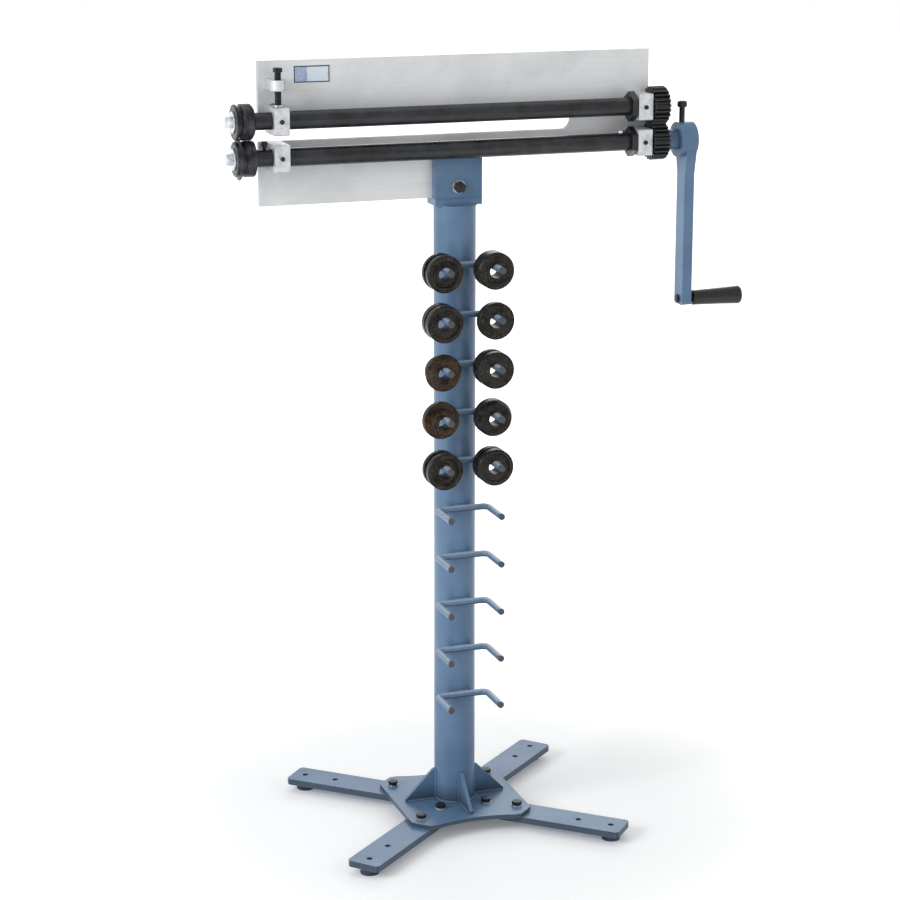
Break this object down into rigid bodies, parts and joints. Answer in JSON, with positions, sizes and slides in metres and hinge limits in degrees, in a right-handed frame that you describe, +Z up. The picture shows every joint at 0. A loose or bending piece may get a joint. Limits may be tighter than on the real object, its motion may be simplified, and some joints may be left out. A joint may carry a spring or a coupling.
{
  "type": "beading machine",
  "caption": "Hand-cranked beading machine: two geared shafts with forming dies on a slotted frame plate, on a column stand with hooks for spare dies.",
  "frame": {"origin": "on the floor, at the middle of the four anchor holes, under the axis of the column", "axes": "+X along the shafts from the dies towards the crank, +Y away from the operator to the back of the frame plate, +Z up"},
  "size_m": [0.9703, 0.4946, 1.427],
  "materials": {
    "blue_paint": "satin hammer-grey blue paint over welded steel",
    "pad_rubber": "moulded black rubber",
    "black_oxide": "black oxide steel",
    "shaft_steel": "oiled black bar",
    "zinc_plate": "zinc plated",
    "ground_plate": "ground bare steel plate",
    "block_alloy": "milled alloy",
    "bush_bronze": "turned bearing bronze",
    "die_steel": "turned and blackened tool steel",
    "oiled_die": "turned tool steel under brown oil",
    "label_print": "blank blue and white label plate",
    "grip_plastic": "moulded black plastic"
  },
  "bodies": {
    "stand": {"base_plate": "blue_paint", "leg_front_left": "blue_paint", "leg_front_right": "blue_paint", "leg_back_left": "blue_paint", "leg_back_right": "blue_paint", "foot_bosses": "blue_paint", "foot_pads": "pad_rubber", "base_bolts": "black_oxide", "base_washers": "zinc_plate", "base_nuts": "black_oxide", "column_tube": "blue_paint", "column_cap": "blue_paint", "column_gussets": "blue_paint", "hook_rods": "blue_paint", "bracket_base": "blue_paint", "bracket_cheeks": "blue_paint", "bracket_fasteners": "black_oxide", "frame_plate": "ground_plate", "nameplate": "label_print", "plate_screws": "black_oxide", "lower_front_block": "block_alloy", "lower_rear_block": "block_alloy", "lower_bushes": "bush_bronze", "lower_grease_nipples": "black_oxide", "adjuster_lug": "block_alloy"},
    "lower_drive": {"lower_shaft": "shaft_steel", "lower_sleeve": "shaft_steel", "lower_collars": "black_oxide", "lower_gear": "black_oxide", "lower_die": "die_steel", "lower_shaft_screws": "zinc_plate", "crank_hub": "blue_paint", "crank_arm": "blue_paint", "crank_clamp_bolt": "black_oxide", "grip_spindle": "black_oxide"},
    "hand_grip": {"crank_grip": "grip_plastic"},
    "upper_carriage": {"upper_front_block": "block_alloy", "upper_rear_block": "block_alloy", "upper_bushes": "bush_bronze", "upper_grease_nipples": "black_oxide", "carriage_bolts": "black_oxide"},
    "upper_drive": {"upper_shaft": "shaft_steel", "upper_sleeve": "shaft_steel", "upper_collar": "black_oxide", "upper_gear": "black_oxide", "upper_die": "die_steel", "upper_shaft_screws": "zinc_plate"},
    "screw_foot": {"thrust_washer": "zinc_plate"},
    "adjuster": {"adjusting_screw": "black_oxide"},
    "spare_die_1_left": {"stored_die_1_left": "oiled_die"},
    "spare_die_1_right": {"stored_die_1_right": "oiled_die"},
    "spare_die_2_left": {"stored_die_2_left": "oiled_die"},
    "spare_die_2_right": {"stored_die_2_right": "oiled_die"},
    "spare_die_3_left": {"stored_die_3_left": "oiled_die"},
    "spare_die_3_right": {"stored_die_3_right": "oiled_die"},
    "spare_die_4_left": {"stored_die_4_left": "oiled_die"},
    "spare_die_4_right": {"stored_die_4_right": "oiled_die"},
    "spare_die_5_left": {"stored_die_5_left": "oiled_die"},
    "spare_die_5_right": {"stored_die_5_right": "oiled_die"}
  },
  "joints": [
    {"name": "crank_turn", "type": "hinge", "parent": "stand", "child": "lower_drive", "pos_m": [0, -0.042, 1.266], "axis": [1, 0, 0], "continuous": true},
    {"name": "grip_turn", "type": "hinge", "parent": "lower_drive", "child": "hand_grip", "pos_m": [0.5, -0.042, 0.973], "axis": [1, 0, 0], "continuous": true},
    {"name": "adjuster_turn", "type": "hinge", "parent": "screw_foot", "child": "adjuster", "pos_m": [-0.333, -0.042, 1.4], "axis": [0, 0, 1], "range_deg": [0, 1440]},
    {"name": "screw_foot_lift", "type": "slide", "parent": "stand", "child": "screw_foot", "axis": [0, 0, 1], "range_m": [0, 0.0071]},
    {"name": "carriage_tilt", "type": "hinge", "parent": "stand", "child": "upper_carriage", "pos_m": [0.339, 0, 1.329], "axis": [0, 1, 0], "range_deg": [0, 0.5968]},
    {"name": "upper_turn", "type": "hinge", "parent": "upper_carriage", "child": "upper_drive", "pos_m": [0, -0.042, 1.329], "axis": [1, 0, 0], "continuous": true},
    {"name": "die_1_left_off", "type": "slide", "parent": "stand", "child": "spare_die_1_left", "axis": [0, -1, 0], "range_m": [0, 0.075]},
    {"name": "die_1_right_off", "type": "slide", "parent": "stand", "child": "spare_die_1_right", "axis": [0, -1, 0], "range_m": [0, 0.075]},
    {"name": "die_2_left_off", "type": "slide", "parent": "stand", "child": "spare_die_2_left", "axis": [0, -1, 0], "range_m": [0, 0.075]},
    {"name": "die_2_right_off", "type": "slide", "parent": "stand", "child": "spare_die_2_right", "axis": [0, -1, 0], "range_m": [0, 0.075]},
    {"name": "die_3_left_off", "type": "slide", "parent": "stand", "child": "spare_die_3_left", "axis": [0, -1, 0], "range_m": [0, 0.075]},
    {"name": "die_3_right_off", "type": "slide", "parent": "stand", "child": "spare_die_3_right", "axis": [0, -1, 0], "range_m": [0, 0.075]},
    {"name": "die_4_left_off", "type": "slide", "parent": "stand", "child": "spare_die_4_left", "axis": [0, -1, 0], "range_m": [0, 0.075]},
    {"name": "die_4_right_off", "type": "slide", "parent": "stand", "child": "spare_die_4_right", "axis": [0, -1, 0], "range_m": [0, 0.075]},
    {"name": "die_5_left_off", "type": "slide", "parent": "stand", "child": "spare_die_5_left", "axis": [0, -1, 0], "range_m": [0, 0.075]},
    {"name": "die_5_right_off", "type": "slide", "parent": "stand", "child": "spare_die_5_right", "axis": [0, -1, 0], "range_m": [0, 0.075]}
  ],
  "couplings": [
    {"joint": "upper_turn", "follows": "crank_turn", "ratio": -1},
    {"joint": "adjuster_turn", "follows": "carriage_tilt", "ratio": 2412.8},
    {"joint": "screw_foot_lift", "follows": "carriage_tilt", "m_per_rad": 0.672}
  ]
}
